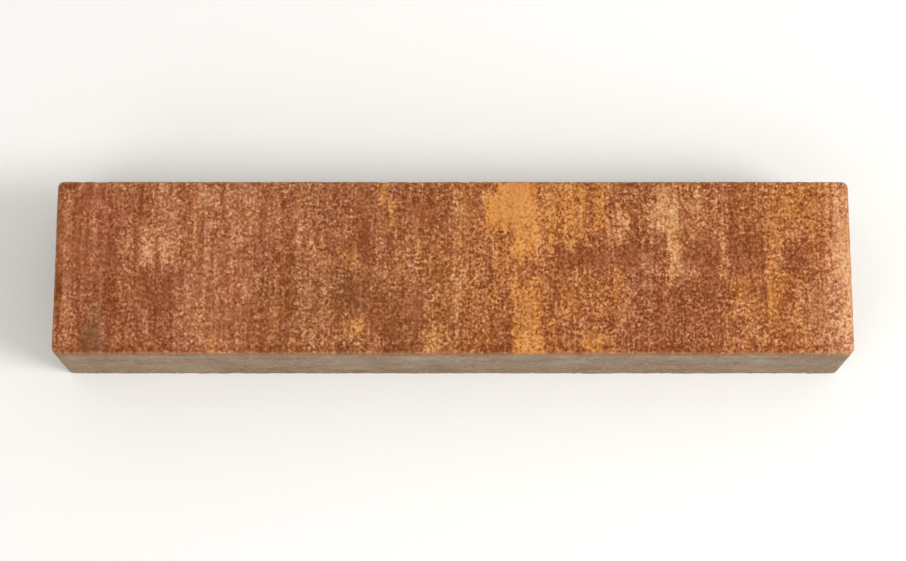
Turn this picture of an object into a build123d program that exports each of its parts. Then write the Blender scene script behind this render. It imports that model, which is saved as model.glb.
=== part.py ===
from build123d import *
import os

# One long-format concrete paving stone, cast and pressed in one piece.
# Millimetres, +Z up. The stone lies on its bed face at Z = 0, its length runs
# along X, and its coloured wearing face looks up. The origin is the middle of
# the bed face.

LENGTH = 600.0        # along X, side face to side face
WIDTH = 134.0         # along Y
THICKNESS = 80.0      # bed face to wearing face
CORNER_RADIUS = 5.0   # of the four upright corners, from the mould
ARRIS_RADIUS = 2.0    # of the edge all round the wearing face
BED_BEVEL = 0.8       # small broken edge all round the bed face

with BuildPart() as stone:
    # The mould's outline, drawn up to the full thickness.
    with BuildSketch(Plane.XY):
        RectangleRounded(LENGTH, WIDTH, CORNER_RADIUS)
    extrude(amount=THICKNESS)

    # The pressed arris round the wearing face is rounded.
    top_edges = stone.faces().sort_by(Axis.Z)[-1].edges()
    fillet(top_edges, radius=ARRIS_RADIUS)

    # The lower edge is only slightly broken.
    bed_edges = stone.faces().sort_by(Axis.Z)[0].edges()
    chamfer(bed_edges, length=BED_BEVEL)

os.makedirs("parts", exist_ok=True)
export_step(stone.part, "parts/paving_stone.step")
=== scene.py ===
import math

import bpy
import numpy as np
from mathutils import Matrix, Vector
from mathutils.geometry import delaunay_2d_cdt


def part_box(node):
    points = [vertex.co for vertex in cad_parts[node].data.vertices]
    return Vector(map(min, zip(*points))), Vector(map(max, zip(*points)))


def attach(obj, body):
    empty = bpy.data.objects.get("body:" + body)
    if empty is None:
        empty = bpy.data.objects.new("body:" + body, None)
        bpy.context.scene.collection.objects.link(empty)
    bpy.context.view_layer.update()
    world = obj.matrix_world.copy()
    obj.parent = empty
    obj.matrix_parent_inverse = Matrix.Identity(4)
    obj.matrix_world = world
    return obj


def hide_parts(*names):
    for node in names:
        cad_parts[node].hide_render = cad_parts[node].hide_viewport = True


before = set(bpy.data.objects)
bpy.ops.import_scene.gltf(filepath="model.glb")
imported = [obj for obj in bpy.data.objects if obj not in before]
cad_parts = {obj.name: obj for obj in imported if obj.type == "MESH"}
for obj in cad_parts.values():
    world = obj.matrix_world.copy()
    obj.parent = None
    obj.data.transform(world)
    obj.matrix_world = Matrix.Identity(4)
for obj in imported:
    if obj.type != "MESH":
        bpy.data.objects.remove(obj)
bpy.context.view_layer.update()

# One long concrete paving stone: a fine mesh with the grain, pits and worn
# edges of pressed concrete, and a procedural material for its mottled face and
# grey body. Lengths below are in millimetres in the stone's own frame.

NODE = "paving_stone"
low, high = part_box(NODE)
LENGTH, WIDTH, THICK = [(high[i] - low[i]) * 1000.0 for i in range(3)]
CORNER = 5.0    # upright corners
ARRIS = 2.0     # rounded edge round the wearing face
BEVEL = 0.8     # broken edge round the bed
BORDER = 7.0    # smoother strip inside the arris
PITCH = 1.5     # spacing of the mesh


# ---------------------------------------------------------------- noise fields
class Perlin:
    """Smooth gradient noise, about -1 to 1. A seed always gives the same field."""

    def __init__(self, seed):
        rng = np.random.default_rng(seed)
        self.order = rng.permutation(256)
        slopes = rng.normal(size=(256, 3))
        self.slopes = slopes / np.linalg.norm(slopes, axis=1, keepdims=True)

    def __call__(self, x, y, z=0.0):
        p = np.stack(np.broadcast_arrays(x, y, z), -1).astype(float)
        cell = np.floor(p).astype(np.int64)
        f = p - cell
        w = f * f * f * (f * (f * 6 - 15) + 10)
        total = np.zeros(p.shape[:-1])
        for corner in np.ndindex(2, 2, 2):
            i = (cell + corner) & 255
            h = self.order[i[..., 0]]
            h = self.order[(h + i[..., 1]) & 255]
            h = self.order[(h + i[..., 2]) & 255]
            share = np.prod(np.where(corner, w, 1 - w), -1)
            total += share * (self.slopes[h] * (f - corner)).sum(-1)
        return total * 1.6


def smooth(a, b, x):
    t = np.clip((x - a) / (b - a), 0.0, 1.0)
    return t * t * (3 - 2 * t)


# ------------------------------------------------------------------- the mesh
half_x, half_y = LENGTH / 2 - BORDER, WIDTH / 2 - BORDER
NX, NY = round(2 * half_x / PITCH), round(2 * half_y / PITCH)
gx = np.linspace(-half_x, half_x, NX + 1)
gy = np.linspace(-half_y, half_y, NY + 1)

# Points round the inner rectangle, counter-clockwise from its lower left.
ring_ij = (
    [(i, 0) for i in range(NX)]
    + [(NX, j) for j in range(NY)]
    + [(i, NY) for i in range(NX, 0, -1)]
    + [(0, j) for j in range(NY, 0, -1)]
)
COUNT = len(ring_ij)
inner = np.array([(gx[i], gy[j]) for i, j in ring_ij])

# Each has its partner on the outline, with those near a corner fanned out
# round the corner's arc.
FAN = 14.0
quarter = CORNER * math.pi / 4
outer, outward = np.zeros((COUNT, 2)), np.zeros((COUNT, 2))
for k, (i, j) in enumerate(ring_ij):
    x, y = inner[k]
    on_long = (j == 0 and i < NX) or (j == NY and i > 0)
    n = np.array((0.0, -1.0 if j == 0 else 1.0) if on_long else (1.0 if i == NX else -1.0, 0.0))
    sx, sy = (1.0 if x > 0 else -1.0), (1.0 if y > 0 else -1.0)
    t = np.array((-sx, 0.0) if on_long else (0.0, -sy))
    s = half_x - abs(x) if on_long else half_y - abs(y)
    extra = quarter + BORDER - CORNER
    run = s + extra if s >= FAN else s * (FAN + extra) / FAN
    centre = np.array((sx * (LENGTH / 2 - CORNER), sy * (WIDTH / 2 - CORNER)))
    if run <= quarter:
        turn = math.pi / 4 - run / CORNER
        outward[k] = math.cos(turn) * n - math.sin(turn) * t
        outer[k] = centre + CORNER * outward[k]
    else:
        outward[k] = n
        outer[k] = centre + CORNER * n + (run - quarter) * t


def inset(x, y):
    """How far a point lies inside the outline."""
    qx = np.abs(x) - (LENGTH / 2 - CORNER)
    qy = np.abs(y) - (WIDTH / 2 - CORNER)
    out = np.hypot(np.maximum(qx, 0), np.maximum(qy, 0)) + np.minimum(np.maximum(qx, qy), 0)
    return CORNER - out


DROP = 0.45  # how far the border strip falls towards the arris


def crown(d):
    """Height of the plain face at a distance d inside the outline."""
    c = np.clip(d, 0.0, ARRIS)
    edge = ARRIS - np.sqrt(np.maximum(ARRIS**2 - (ARRIS - c) ** 2, 0.0))
    return THICK - edge - DROP * (1 - smooth(1.0, BORDER, d))


rows = []          # each a list of vertex numbers round the stone, top to bottom
xs, ys, zs, part = [], [], [], []   # part: 0 face, 1 border and arris, 2 side, 3 bed


def add(x, y, z, kind):
    first = sum(len(a) for a in xs)
    xs.append(np.asarray(x, float))
    ys.append(np.asarray(y, float))
    zs.append(np.asarray(z, float))
    part.append(np.full(len(xs[-1]), kind))
    return np.arange(first, first + len(xs[-1]))


mx, my = np.meshgrid(gx, gy)
grid = add(mx.ravel(), my.ravel(), crown(inset(mx.ravel(), my.ravel())), 0).reshape(NY + 1, NX + 1)
rows.append(np.array([grid[j, i] for i, j in ring_ij]))
for d in (6.0, 5.0, 4.0, 3.0, 2.0, 1.235, 0.586, 0.152, 0.0):
    p = outer + (inner - outer) * (d / BORDER)
    rows.append(add(p[:, 0], p[:, 1], crown(inset(p[:, 0], p[:, 1])), 1))
side_top = float(crown(np.array(0.0)))
steps = np.array([0.8, 1.0, 1.2, 1.4] + [1.55] * 45 + [1.3, 1.0, 0.8])
levels = side_top - np.cumsum(steps) * (side_top - BEVEL) / steps.sum()
for z in levels:
    rows.append(add(outer[:, 0], outer[:, 1], np.full(COUNT, z), 2))
bed_ring = outer - outward * BEVEL
rows.append(add(bed_ring[:, 0], bed_ring[:, 1], np.zeros(COUNT), 3))

faces = []
a = grid
quads = np.stack([a[:-1, :-1], a[:-1, 1:], a[1:, 1:], a[1:, :-1]], -1).reshape(-1, 4)
faces.append(quads)
for upper, lower in zip(rows[:-1], rows[1:]):
    faces.append(np.stack([upper, lower, np.roll(lower, -1), np.roll(upper, -1)], -1))
quads = np.concatenate(faces)

# The bed: loose points inside its ring, joined up as triangles.
rng = np.random.default_rng(7)
bx, by = np.meshgrid(np.arange(-LENGTH / 2 + 8, LENGTH / 2 - 7, 8.0), np.arange(-WIDTH / 2 + 8, WIDTH / 2 - 7, 8.0))
bx = bx.ravel() + rng.uniform(-1.5, 1.5, bx.size)
by = by.ravel() + rng.uniform(-1.5, 1.5, by.size)
spots = [Vector(p) for p in bed_ring] + [Vector(p) for p in zip(bx, by)]
border = [(k, (k + 1) % COUNT) for k in range(COUNT)]
got, _, tris, *_ = delaunay_2d_cdt(spots, border, [], 1, 1e-6)
inside = add(bx, by, np.zeros(len(bx)), 3)
number = np.concatenate([rows[-1], inside])
bed = np.array([[number[v] for v in t][::-1] for t in tris])

X, Y, Z, PART = (np.concatenate(v) for v in (xs, ys, zs, part))
D = inset(X, Y)
top = PART <= 1
side = PART == 2
normal = np.zeros((len(X), 3))
normal[top, 2] = 1.0
for row in rows[1:]:
    tilt = np.clip((Z[row] - side_top) / ARRIS, 0, 1)[:, None]
    lean = np.where(D[row][:, None] < ARRIS, 1 - tilt, 0.0)
    normal[row, :2] = outward * lean
    normal[row, 2] = np.where(PART[row] == 1, np.sqrt(1 - (lean[:, 0]) ** 2), 0.0)
normal[PART == 3] = (0, 0, -1)

# Relief. Everything is cut into the stone, so it stays inside its true size.
n1, n2, n3, n4, n5, n6 = (Perlin(s) for s in (11, 12, 13, 14, 15, 16))
wave = 0.22 * n1(X / 85, Y / 60) + 0.12 * n2(X / 24, Y / 30)
grain = 0.11 * n3(X / 4.6, Y / 5.2, Z / 5) + 0.10 * n4(X / 2.5, Y / 2.5, Z / 2.5)
calm = 0.55 + 0.45 * smooth(2.0, BORDER, D)
cut = np.zeros(len(X))
cut[top] = (0.42 - wave - grain * calm)[top]

# Pits where a grain or a little air has gone.
pit_x, pit_y = rng.uniform(-LENGTH / 2, LENGTH / 2, 330), rng.uniform(-WIDTH / 2, WIDTH / 2, 330)
pit_r = 1.1 + 1.5 * rng.random(330) ** 3
pit_d = 0.16 + 0.32 * rng.random(330) ** 2
face = np.flatnonzero(top)
for x, y, r, d in zip(pit_x, pit_y, pit_r, pit_d):
    q = ((X[face] - x) ** 2 + (Y[face] - y) ** 2) / r**2
    near = q < 1
    cut[face[near]] += d * (1 - q[near]) ** 1.5

# Sides: pressed in the mould, with upright drag lines, hollows and open pores.
drag = n5((X + Y) / 2.6, Z / 70, 3.0) * 0.5 + n6((X - Y) / 7.0, Z / 90, 5.0) * 0.5
body = 0.40 + 0.18 * n1(X / 30, Y / 30, Z / 26) + 0.16 * n3(X / 9, Y / 9, Z / 8) + 0.20 * n4(X / 3.6, Y / 3.6, Z / 4) + 0.16 * drag
cut[side] = np.maximum(body, 0.02)[side]
# How deep each point lies in a pit on the sides; used only to paint shade into those pits.
pit_shade = np.zeros(len(X))
skin = np.flatnonzero(side)
for k in rng.integers(COUNT, size=520):
    x, y = outer[k]
    z = rng.uniform(3.0, THICK - 5.0)
    r = 1.1 + 1.7 * rng.random() ** 5
    d = r * rng.uniform(0.15, 0.36)
    q = ((X[skin] - x) ** 2 + (Y[skin] - y) ** 2 + ((Z[skin] - z) * rng.uniform(0.75, 1.3)) ** 2) / r**2
    near = skin[q < 1]
    bowl = (1 - q[q < 1]) ** 0.8
    cut[near] += d * bowl
    pit_shade[near] = np.maximum(pit_shade[near], bowl * min(1.0, d / 0.9))

# Crumbling along the arris and the foot of the sides.
arris = np.exp(-((D / 1.6) ** 2)) * np.exp(-(((Z - side_top) / 3.0) ** 2)) * (PART >= 1)
foot = np.exp(-((Z / 2.2) ** 2)) * side
rough = np.maximum(n2(X / 3.4, Y / 3.4, Z / 3.4) + 0.6 * n5(X / 9, Y / 9, 1.0) - 0.05, 0)
cut += 0.75 * arris * rough + 0.9 * foot * rough

P = np.stack([X, Y, Z], -1) - normal * cut[:, None]

# Small chips broken out of the arris: the edge is cut back to little hollows.
for _ in range(46):
    k = rng.integers(COUNT)
    size = 1.1 + 2.3 * rng.random() ** 3
    c = np.array([*(outer[k] + outward[k] * size * 0.55), side_top + ARRIS * 0.55 + size * 0.45])
    away = P - c
    far = np.linalg.norm(away, axis=1)
    hit = (far < size) & (PART >= 1) & (PART <= 2)
    P[hit] = c + away[hit] / np.maximum(far[hit], 1e-6)[:, None] * (size * 0.5 + far[hit] * 0.5)[:, None]
P[:, 2] = np.clip(P[:, 2], 0.0, THICK)
P[:, 0] = np.clip(P[:, 0], -LENGTH / 2, LENGTH / 2)
P[:, 1] = np.clip(P[:, 1], -WIDTH / 2, WIDTH / 2)

mesh = bpy.data.meshes.new("paving_stone_body")
mesh.from_pydata((P / 1000.0).tolist(), [], quads.tolist() + bed.tolist())
mesh.validate()
mesh.polygons.foreach_set("use_smooth", np.ones(len(mesh.polygons), bool))

# A flat layout of the faces: the wearing face along the top, the long sides
# under it, and the ends and the bed at the bottom. Each corner has its place.
flat = np.stack([X, Y], -1)
for row, d in zip(rows, (BORDER, 6.0, 5.0, 4.0, 3.0, 2.0, 1.15, 0.30, -0.45, -1.1)):
    flat[row] = outer + (inner - outer) * (d / BORDER)


def lay(x, x0, x1, u0, u1):
    return u0 + (x - x0) / (x1 - x0) * (u1 - u0)


on_top = np.stack([lay(flat[:, 0], -LENGTH / 2 - 1.2, LENGTH / 2 + 1.2, 0.005, 0.995),
                   lay(flat[:, 1], -WIDTH / 2 - 1.2, WIDTH / 2 + 1.2, 0.500, 0.995)], -1)
on_bed = np.stack([lay(X, -LENGTH / 2, LENGTH / 2, 0.615, 0.995), lay(Y, WIDTH / 2, -WIDTH / 2, 0.005, 0.160)], -1)
run = np.linalg.norm(np.roll(outer, -1, 0) - outer, axis=1)
start, stop = np.zeros(COUNT), np.zeros(COUNT)
base = np.zeros(COUNT)
corner = 0
for count, u0, u1, v0 in ((NX, 0.005, 0.995, 0.335), (NY, 0.005, 0.300, 0.005), (NX, 0.005, 0.995, 0.170), (NY, 0.310, 0.605, 0.005)):
    these = slice(corner, corner + count)
    ends = np.concatenate([[0.0], np.cumsum(run[these])])
    ends = lay(ends, 0.0, ends[-1], u0, u1)
    start[these], stop[these] = ends[:-1], ends[1:]
    base[these] = v0
    corner += count
upright = [side_top, *levels, BEVEL - BEVEL * math.sqrt(2)]
places = [on_top[faces[0]]] + [on_top[f] for f in faces[1:10]]
for a, b in zip(upright[:-1], upright[1:]):
    va, vb = (base + lay(z, upright[-1], side_top, 0.0, 0.155) for z in (a, b))
    places.append(np.stack([np.stack([start, va], -1), np.stack([start, vb], -1), np.stack([stop, vb], -1), np.stack([stop, va], -1)], 1))
places = np.concatenate([np.concatenate(places).reshape(-1, 2), on_bed[bed].reshape(-1, 2)])
layout = mesh.uv_layers.new(name="OFBake")
layout.uv.foreach_set("vector", places.astype(np.float32).ravel())

stone = bpy.data.objects.new("paving_stone_body", mesh)
bpy.context.scene.collection.objects.link(stone)

# ---------------------------------------------------- how the colours are mixed
# The face is pigmented mixes thrown together: red-brown, tan, pale tan and
# orange. They were spread across the stone, so they lie in bands and patches
# that run across it. Each patch: x from, x to, y from, y to, share of the mix.
TAN = [
    (-236, -207, -2, 34, 0.78), (-229, -210, 30, 75, 0.45), (-208, -149, -75, 75, 0.34), (-170, -155, -20, 28, 0.45),
    (-185, -170, -75, -2, 0.48), (-142, -109, 18, 52, 0.38), (-115, -93, -75, 48, 0.27), (-268, -254, 28, 52, 0.30), (-253, -244, -26, -4, 0.30),
    (-35, -22, -12, 34, 0.40), (-10, 6, -64, 34, 0.30), (-4, 18, 32, 75, 0.36), (-21, -6, -75, -40, 0.30),
    (180, 188, 22, 75, 0.53), (201.5, 207, -12, 28, 0.75), (261, 288, -62, -10, 0.55), (276, 310, -80, 26, 0.42),
    (-193, -168, -80, -32, 0.65), (-12, 30, -30, 30, 0.14), (-193, -176, 40, 80, 0.80),
]
# The two patches here that reach x = 310 along the right end are painted highlight of that end; the rest are pale tan
# mix.
PALE = [
    (149, 171, 28, 50, 0.80), (154, 165, 36, 62, 0.85), (142, 176, 40, 54, 0.25), (163, 171, -8, 36, 0.95),
    (138, 157, -4, 6, 0.60), (168, 184, -9, 3, 0.60), (159, 174, -12, 4, 0.85), (121, 132, 28, 44, 0.62), (287, 310, -80, 80, 0.72), (282, 310, -80, 20, 0.46),
    (-233, -216, 3, 31, 0.34),
]
DEEP = [
    (-288, -252, -20, 24, 0.25), (-107, -60, 26, 75, 0.36), (-50, 2, 20, 75, 0.26), (-40, -2, -75, 10, 0.20), (-237, -207, -38, 0, 0.80), (-147, -141, 40, 75, 0.60), (-135, -119, -30, 14, 0.50),
    (-92, -61, -36, -8, 0.55), (-65, -20, -64, -13, 0.74), (-23, -12, 44, 75, 0.65), (77, 109, -2, 14, 1.00),
    (105, 160, -5, 15, 0.80), (152, 162, 8, 29, 0.75), (123, 146, 48, 75, 0.26), (173, 200, -34, 25, 0.78), (206, 236, -7, 29, 0.75),
    (248, 265, -4, 18, 0.90), (-222, -205, -75, -46, 0.42), (130, 205, -75, -10, 0.44), (198, 212, 28, 48, 0.30),
]
ORANGE = [
    (23.5, 46, 30, 60, 1.05), (41, 65, 30, 80, 1.05), (44, 66, 3, 36, 0.80), (43, 68, -80, -4, 0.56), (46, 69, -80, -47, 0.85), (60, 78, -80, -34, 0.46),
    (97, 112, -80, -45, 0.66), (66, 101, 10, 80, 0.55), (82, 89, 44, 80, 0.56), (104, 118, 24, 80, 0.57),
    (-86, -65, -57, -36, 0.44), (-80, -68, -57, -43, 0.60), (214, 223, -60, 2, 0.46), (234, 248, -54, 44, 0.48),
    (238, 286, 24, 80, 0.44), (66, 136, -46, 1, 0.34), (28, 46, -16, 32, 0.38), (-42, -33, -2, 16, 0.40),
    (-83, -66, -4, 14, 0.42), (-22, -7, -80, -46, 0.46), (190, 206, -80, -30, 0.30), (-183, -172, -80, -52, 0.36),
    (-57, -48, 44, 80, 0.64), (-51, -43, 28, 56, 0.58),
]
OLIVE = [(-270, -262, -38, -20, 0.28), (-274, -262, -54, -27, 0.66), (-277, -260, -68, -42, 0.88), (-92, -64, -34, -10, 0.28)]

m = [Perlin(s) for s in range(31, 45)]
# The patches' sides are ragged: shifted a little along the stone, more across it.
wx = X + 2.6 * m[0](X / 14, Y / 26) + 2.4 * m[1](X / 5.0, Y / 9)
wy = Y + 9.0 * m[2](X / 5.5, Y / 40) + 6.0 * m[3](X / 2.6, Y / 14)


def gather(patches, soft_x, soft_y):
    """Share of a mix at each point, fading out at the sides of its patches."""
    total = np.zeros(len(X))
    for x0, x1, y0, y1, share in patches:
        fx, fy = min(soft_x, 0.5 * (x1 - x0)), min(soft_y, 0.5 * (y1 - y0))
        inside = smooth(-fx, fx, wx - x0) * smooth(-fx, fx, x1 - wx) * smooth(-fy, fy, wy - y0) * smooth(-fy, fy, y1 - wy)
        total = np.maximum(total, share * inside)
    return total


# tone runs from dark red-brown (0) through red-brown (0.5) to pale tan (1).
bands = 0.096 * m[4](X / 12, Y / 130) + 0.110 * m[5](X / 5.0, Y / 90) + 0.112 * m[6](X / 2.9, Y / 48)
stir = bands + 0.066 * m[7](X / 24, Y / 34) + 0.118 * m[8](X / 6.5, Y / 10)
tan, deep = gather(TAN, 4.5, 10.0), gather(DEEP, 5.0, 8.0)
pale, orange = gather(PALE, 2.6, 5.0), gather(ORANGE, 4.0, 9.0)
tone = 0.435 + 1.24 * stir + 0.03 * smooth(-230, -290, X)
tone += (0.80 + 0.9 * stir - tone) * tan
tone += (0.33 + 0.35 * stir - tone) * deep
tone += (0.85 + 0.5 * stir - tone) * pale
tone += (0.70 + 0.4 * stir - tone) * smooth(0.15, 1.0, orange)

# warm is the share of the orange mix, and solid where one mix lies unmixed.
broken = 0.13 * m[9](X / 6, Y / 60) + 0.12 * m[10](X / 3.2, Y / 22) + 0.10 * m[11](X / 7, Y / 9)
warm = 0.06 + 0.19 * smooth(-130, 30, X) - 0.08 * smooth(255, 300, X) + 0.08 * m[12](X / 30, Y / 30) + broken
warm = np.maximum(warm, orange + broken) - 0.22 * deep - 0.20 * pale
solid = np.maximum(np.maximum(smooth(0.70, 1.0, orange), 0.7 * smooth(0.6, 0.95, pale)), 0.5 * smooth(0.4, 0.9, deep))

# Along the left end and the near side a darker strip lies inside the rubbed
# arris, and a lighter line inside that: the strip is smoother paste darkened
# with painted shade, where these edges turn away from the light. The right
# end is pale with a painted highlight, where its rounded edge catches the light.
at_left = smooth(-LENGTH / 2 + 17, -LENGTH / 2 + 11, X)
at_near = smooth(-WIDTH / 2 + 14, -WIDTH / 2 + 9, Y) * (1 - at_left)
wd = D + 0.9 * m[3](X / 5, Y / 5)
# Painted shade: the strip inside the left and near arris is darkened here.
tone += at_left * (0.075 * smooth(5.6, 7.4, wd) * smooth(13.6, 11.6, wd) - 0.14 * smooth(1.0, 2.2, wd) * smooth(6.8, 5.2, wd))
tone += at_near * (0.02 * smooth(6.6, 8.6, wd) * smooth(13.0, 11.0, wd) - 0.09 * smooth(1.4, 3.2, wd) * smooth(8.0, 6.4, wd))
tone += 0.06 * smooth(-293.0, -289.0, X) * smooth(-276.0, -281.0, X)
# Painted highlight along the right end, where its rounded edge catches the light.
tone += 0.06 * smooth(283.0, 285.5, X) * smooth(30.0, 5.0, Y) + 0.10 * smooth(287.0, 291.0, X) + 0.085 * smooth(295.5, 298.5, X)
olive = gather(OLIVE, 6.0, 12.0)
tone -= 0.18 * olive
tone = 0.50 + 1.07 * (tone - 0.50)

# rosy is a greyer red cast of the mix, sallow a yellower one, and grit how strongly
# its grains differ.
rosy = 1.20 - 1.20 * smooth(-75, 35, X) + 0.75 * smooth(112, 128, X) * smooth(215, 190, X) + 0.8 * smooth(252, 272, X) * smooth(10, -15, Y)
rosy += 0.95 * m[13](X / 17, Y / 30) + 0.85 * m[2](X / 6, Y / 13, 4.0) - 0.7 * pale * (X < 250) - 0.20 * orange + 0.55 * deep
sallow = smooth(-165, -125, X) * smooth(40, 5, X) * (0.6 + 0.7 * smooth(30, -15, Y)) - 0.8 * smooth(-248, -258, X) * smooth(-290, -278, X)
sallow += 0.7 * smooth(125, 140, X) * smooth(200, 185, X) * smooth(0, 30, Y) + 1.3 * pale * (X < 250) + 1.1 * m[9](X / 15, Y / 24, 6.0) + 0.6 * m[10](X / 7, Y / 11, 3.0)
grit = 0.95 + 0.15 * smooth(-70, 60, X) - 0.15 * smooth(255, 285, X) - 0.28 * smooth(-242, -282, X) * smooth(-40, 5, Y)
grit += 0.12 * smooth(-105, -85, X) * smooth(5, -15, X) * smooth(20, -10, Y) - 0.14 * smooth(-206, -192, X) * smooth(-142, -156, X)
grit = np.clip(grit + 0.34 * m[0](X / 19, Y / 25, 7.0) + 0.26 * m[1](X / 8, Y / 12, 5.0), 0.45, 1.5)
for name, value in (("tone", tone), ("warm", warm), ("solid", solid), ("olive", olive),
                    ("rosy", rosy), ("sallow", sallow), ("grit", grit), ("from_edge", D),
                    ("pit_shade", pit_shade)):
    layer = mesh.attributes.new(name, "FLOAT", "POINT")
    layer.data.foreach_set("value", np.asarray(value, np.float32))


# ------------------------------------------------------------------- material
material = bpy.data.materials.new("pressed_concrete")
material.use_nodes = True
tree = material.node_tree
tree.nodes.clear()


def put(socket, value):
    if isinstance(value, bpy.types.NodeSocket):
        tree.links.new(value, socket)
    elif value is not None:
        socket.default_value = value


def maths(operation, a, b=None, c=None, clamp=False):
    n = tree.nodes.new("ShaderNodeMath")
    n.operation, n.use_clamp = operation, clamp
    for socket, value in zip(n.inputs, (a, b, c)):
        put(socket, value)
    return n.outputs[0]


def vector(operation, a, b=None, scale=None):
    n = tree.nodes.new("ShaderNodeVectorMath")
    n.operation = operation
    put(n.inputs[0], a)
    put(n.inputs[1], b)
    if scale is not None:
        put(n.inputs["Scale"], scale)
    return n.outputs[0]


def ease(x, a, b, lo=0.0, hi=1.0, kind="SMOOTHSTEP"):
    n = tree.nodes.new("ShaderNodeMapRange")
    n.interpolation_type = kind
    for name, value in (("Value", x), ("From Min", a), ("From Max", b), ("To Min", lo), ("To Max", hi)):
        put(n.inputs[name], value)
    return n.outputs[0]


def blend(share, a, b, kind="MIX"):
    n = tree.nodes.new("ShaderNodeMix")
    n.data_type, n.blend_type = "RGBA", kind
    put(n.inputs[0], share)
    put(n.inputs[6], (*a, 1.0) if isinstance(a, tuple) else a)
    put(n.inputs[7], (*b, 1.0) if isinstance(b, tuple) else b)
    return n.outputs[2]


def noise(at, scale, detail=2.0, rough=0.5, colour=False):
    n = tree.nodes.new("ShaderNodeTexNoise")
    put(n.inputs["Vector"], at)
    put(n.inputs["Scale"], scale)
    put(n.inputs["Detail"], detail)
    put(n.inputs["Roughness"], rough)
    return n.outputs["Color" if colour else "Fac"]


def cells(at, scale):
    """Random numbers for each grain (three), and the distance to its middle."""
    n = tree.nodes.new("ShaderNodeTexVoronoi")
    put(n.inputs["Vector"], at)
    put(n.inputs["Scale"], scale)
    s = tree.nodes.new("ShaderNodeSeparateColor")
    tree.links.new(n.outputs["Color"], s.inputs[0])
    return s.outputs[0], s.outputs[1], s.outputs[2], n.outputs["Distance"]


def attribute(name):
    n = tree.nodes.new("ShaderNodeAttribute")
    n.attribute_name = name
    return n.outputs["Fac"]


def times(colour, factor):
    return vector("SCALE", colour, scale=factor)


place = tree.nodes.new("ShaderNodeTexCoord").outputs["Object"]
mm = vector("SCALE", place, scale=1000.0)
split = tree.nodes.new("ShaderNodeSeparateXYZ")
tree.links.new(mm, split.inputs[0])
height = split.outputs["Z"]

jitter = vector("SUBTRACT", noise(mm, 0.6, 0.0, colour=True), (0.5, 0.5, 0.5))
grains_at = vector("ADD", mm, vector("SCALE", jitter, scale=1.6))
r1, r2, r3, d1 = cells(grains_at, 0.56)
q1, q2, q3, d2 = cells(grains_at, 1.15)
drawn_out = vector("MULTIPLY", mm, (1.0, 0.80, 0.90))
g1 = noise(drawn_out, 0.50, 0.0)
g2 = noise(drawn_out, 0.88, 0.5)
g3 = noise(vector("ADD", drawn_out, (31.0, 17.0, 5.0)), 0.52, 0.0)
g4 = noise(vector("MULTIPLY", mm, (0.50, 0.026, 0.30)), 1.0, 0.0)


def about(x, spread):
    """Half of the spread to either side of nothing."""
    return maths("MULTIPLY_ADD", x, spread, -0.5 * spread)


# Every grain is lighter or darker than the mix round it, and each takes the
# orange mix or not, as often as that is there.
solid = attribute("solid")
shade = maths("ADD", maths("ADD", about(g1, 0.94), about(g2, 0.60)), maths("ADD", about(r1, 0.50), about(q1, 0.24)))
shade = maths("ADD", shade, about(g4, 0.34))
strength = maths("MULTIPLY", attribute("grit"), maths("MULTIPLY_ADD", solid, -0.42, 1.0))
value = maths("ADD", attribute("tone"), maths("MULTIPLY", shade, strength))
lot = maths("ADD", about(g3, 0.68), maths("ADD", about(r2, 0.30), about(q2, 0.25)))
share = ease(maths("ADD", attribute("warm"), maths("MULTIPLY", lot, maths("MULTIPLY_ADD", solid, -0.5, 1.0))), 0.10, 0.75)


def ramp(at, stops):
    n = tree.nodes.new("ShaderNodeValToRGB")
    e = n.color_ramp.elements
    while len(e) < len(stops):
        e.new(0.5)
    for item, (where, c) in zip(e, stops):
        item.position, item.color = where, (*c, 1.0)
    put(n.inputs[0], at)
    return n.outputs[0]


value = maths("MULTIPLY", value, 1 / 1.2)
earth = ramp(value, [
    (0.00, (0.142, 0.034, 0.0068)), (0.20 / 1.2, (0.203, 0.052, 0.0124)), (0.35 / 1.2, (0.255, 0.071, 0.0212)),
    (0.50 / 1.2, (0.304, 0.096, 0.0325)), (0.63 / 1.2, (0.362, 0.129, 0.0490)), (0.76 / 1.2, (0.430, 0.172, 0.0715)),
    (0.88 / 1.2, (0.510, 0.228, 0.1000)), (1.00 / 1.2, (0.578, 0.286, 0.1260)), (1.00, (0.690, 0.376, 0.1780)),
])
ochre = ramp(value, [
    (0.00, (0.170, 0.045, 0.0095)), (0.30 / 1.2, (0.325, 0.108, 0.0200)), (0.55 / 1.2, (0.466, 0.177, 0.0395)),
    (0.75 / 1.2, (0.555, 0.232, 0.0610)), (1.00 / 1.2, (0.630, 0.296, 0.0930)),
])
cast = attribute("rosy")
tint = tree.nodes.new("ShaderNodeCombineXYZ")
put(tint.inputs[0], maths("MULTIPLY_ADD", cast, -0.03, 1.0))
put(tint.inputs[1], maths("MULTIPLY_ADD", attribute("sallow"), 0.049, 0.982))
put(tint.inputs[2], maths("MULTIPLY_ADD", cast, 0.12, 1.0))
face_colour = vector("MULTIPLY", blend(share, earth, ochre), tint.outputs[0])
face_colour = blend(maths("MULTIPLY", attribute("olive"), 0.42), face_colour, (0.140, 0.096, 0.044))

# The rubbed arris is a little greyer.
edge = attribute("from_edge")
rub = maths("MULTIPLY", ease(edge, 2.6, 0.4), ease(noise(mm, 0.12, 3.0, 0.6), 0.35, 0.65, 0.35, 0.85))
face_colour = blend(rub, face_colour, (0.318, 0.168, 0.095))

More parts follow.
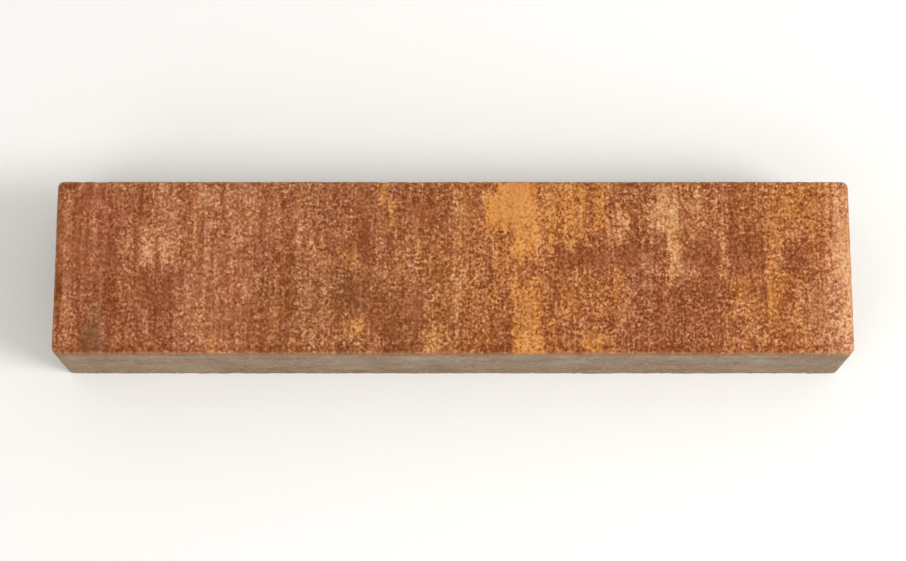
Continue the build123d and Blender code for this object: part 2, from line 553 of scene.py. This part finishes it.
# The grey body under the coloured face, seen on the sides.
a1, a2, a3, da = cells(vector("ADD", mm, vector("SCALE", jitter, scale=2.4)), 0.23)
along = vector("MULTIPLY", mm, (0.50, 0.50, 0.80))
tone = noise(along, 0.040, 1.5, 0.5)
grey = blend(ease(tone, 0.32, 0.68), (0.262, 0.184, 0.125), (0.314, 0.254, 0.185))
brown = maths("MULTIPLY", ease(height, 66.0, 14.0), ease(noise(along, 0.028, 1.5, 0.5), 0.32, 0.66, 0.25, 0.70))
grey = blend(brown, grey, (0.268, 0.170, 0.112))
layers = noise(vector("MULTIPLY", mm, (0.008, 0.008, 0.080)), 1.0, 1.0, 0.5)
grey = times(grey, ease(layers, 0.30, 0.70, 0.92, 1.06))
clouds = noise(mm, 0.085, 3.0, 0.62)
grey = times(grey, ease(clouds, 0.30, 0.70, 0.90, 1.09))
is_stone = maths("GREATER_THAN", a1, 0.66)
stones = maths("MULTIPLY", is_stone, ease(da, 0.62, 0.42))
stone_colour = blend(a2, (0.220, 0.165, 0.120), (0.390, 0.315, 0.230))
grey = blend(maths("MULTIPLY", stones, 0.55), grey, stone_colour)
grey = times(grey, maths("MULTIPLY_ADD", r2, 0.26, 0.87))
grey = times(grey, maths("MULTIPLY_ADD", q1, 0.20, 0.90))
# Pores are small spots dented by the bump and darkened with painted shade.
pore = maths("MULTIPLY", ease(da, 0.26, 0.12), maths("GREATER_THAN", maths("SUBTRACT", a3, is_stone), 0.70))
pore = maths("MAXIMUM", pore, maths("MULTIPLY", ease(d1, 0.30, 0.14), maths("GREATER_THAN", r3, 0.86)))
grey = times(grey, maths("MULTIPLY_ADD", pore, -0.50, 1.0))
# Painted shade darkens the sides inside their pits.
grey = times(grey, maths("MULTIPLY_ADD", attribute("pit_shade"), -0.30, 1.0))

# Colour dragged down the sides when the mould was lifted.
long_way = vector("MULTIPLY", mm, (0.20, 0.20, 0.016))
smear = maths("MULTIPLY", ease(noise(long_way, 1.0, 3.0, 0.55), 0.46, 0.68), ease(height, 30.0, 74.0))
grey = blend(maths("MULTIPLY", smear, 0.45), grey, (0.290, 0.140, 0.078))

depth = maths("ADD", maths("MULTIPLY_ADD", noise(mm, 0.035, 2.0, 0.5), 10.0, THICK - 12.5),
              maths("MULTIPLY_ADD", noise(mm, 0.22, 3.0, 0.6), 7.0, -3.5))
depth = maths("ADD", depth, maths("ADD", about(r1, 2.4), about(g1, 4.0)))
below = maths("SUBTRACT", height, depth)
is_face = ease(below, -1.3, 1.3)
dusty = maths("MULTIPLY", ease(height, THICK - 1.5, THICK - 4.0), ease(noise(mm, 0.10, 3.0, 0.6), 0.35, 0.65, 0.12, 0.50))
colour = blend(is_face, grey, blend(dusty, face_colour, (0.285, 0.172, 0.110)))

rough = maths("ADD", maths("MULTIPLY", q3, 0.08), maths("MULTIPLY_ADD", g1, 0.12, 0.78))

dome1 = ease(d1, 0.75, 0.10)
dome2 = ease(d2, 0.75, 0.10)
relief = maths("ADD", maths("MULTIPLY", dome1, maths("MULTIPLY_ADD", r2, 0.5, 0.2)),
               maths("ADD", maths("MULTIPLY", dome2, 0.25), maths("MULTIPLY", g2, 0.6)))
relief = maths("SUBTRACT", relief, maths("MULTIPLY", pore, maths("MULTIPLY_ADD", is_face, -1.6, 1.6)))
bump = tree.nodes.new("ShaderNodeBump")
bump.inputs["Strength"].default_value = 0.55
bump.inputs["Distance"].default_value = 0.0005
put(bump.inputs["Height"], relief)

shader = tree.nodes.new("ShaderNodeBsdfPrincipled")
put(shader.inputs["Base Color"], colour)
put(shader.inputs["Roughness"], rough)
put(shader.inputs["Normal"], bump.outputs[0])
shader.inputs["Specular IOR Level"].default_value = 0.15
output = tree.nodes.new("ShaderNodeOutputMaterial")
tree.links.new(shader.outputs[0], output.inputs["Surface"])
mesh.materials.append(material)

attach(stone, "root")
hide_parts(NODE)

# ------------------------------------------------------------- floor and light
# A plain pale floor that curves up far away all round, so that no line shows
# where it ends.
floor_mesh = bpy.data.meshes.new("floor")
bend = [math.radians(t) for t in range(0, 91, 6)]
profile = [(0.6, 0.0), (2.0, 0.0)] + [(6.0 + 3.0 * math.sin(t), 3.0 - 3.0 * math.cos(t)) for t in bend] + [(9.0, 4.5)]
TURN = 96
ring = [(r * math.cos(2 * math.pi * k / TURN), r * math.sin(2 * math.pi * k / TURN), z) for r, z in profile for k in range(TURN)]
panes = [(0, k + 1, (k + 1) % TURN + 1) for k in range(TURN)]
for j in range(len(profile) - 1):
    for k in range(TURN):
        n = (k + 1) % TURN
        panes.append((1 + j * TURN + k, 1 + (j + 1) * TURN + k, 1 + (j + 1) * TURN + n, 1 + j * TURN + n))
floor_mesh.from_pydata([(0.0, 0.0, 0.0)] + ring, [], panes)
floor_mesh.polygons.foreach_set("use_smooth", np.ones(len(floor_mesh.polygons), bool))
floor = bpy.data.objects.new("floor", floor_mesh)
bpy.context.scene.collection.objects.link(floor)
pale_floor = bpy.data.materials.new("pale_floor")
pale_floor.use_nodes = True
ground = pale_floor.node_tree.nodes["Principled BSDF"]
ground.inputs["Base Color"].default_value = (0.82, 0.81, 0.79, 1.0)
ground.inputs["Roughness"].default_value = 0.9
ground.inputs["Specular IOR Level"].default_value = 0.1
floor_mesh.materials.append(pale_floor)

world = bpy.data.worlds.new("studio")
bpy.context.scene.world = world
world.use_nodes = True
world.node_tree.nodes["Background"].inputs["Color"].default_value = (1.0, 0.99, 0.97, 1.0)
world.node_tree.nodes["Background"].inputs["Strength"].default_value = 0.79


def softbox(name, where, aim, size, power):
    lamp = bpy.data.lights.new(name, "AREA")
    lamp.shape, lamp.size, lamp.energy = "DISK", size, power
    o = bpy.data.objects.new(name, lamp)
    o.location = where
    o.rotation_euler = (Vector(aim) - Vector(where)).to_track_quat("-Z", "Y").to_euler()
    bpy.context.scene.collection.objects.link(o)


softbox("key", (2.6, -0.8, 2.4), (0, 0, 0.04), 1.6, 92.0)
softbox("fill", (-2.0, -2.2, 2.0), (0, 0, 0.04), 2.0, 16.0)

# ------------------------------------------------------------------- the camera
camera_data = bpy.data.cameras.new("camera")
camera_data.sensor_width = 36.0
camera = bpy.data.objects.new("camera", camera_data)
bpy.context.scene.collection.objects.link(camera)
bpy.context.scene.camera = camera
elevation, far = math.radians(77.0), 1.76
aim = Vector((0.0, -0.006, 0.060))
camera.location = aim + far * Vector((0.0, -math.cos(elevation), math.sin(elevation)))
camera.rotation_euler = (aim - camera.location).to_track_quat("-Z", "Y").to_euler()
camera_data.lens = 36.0 * far / (0.6 * 906 / 790)
camera_data.clip_end = 200.0
bpy.context.scene.view_settings.view_transform = "Standard"
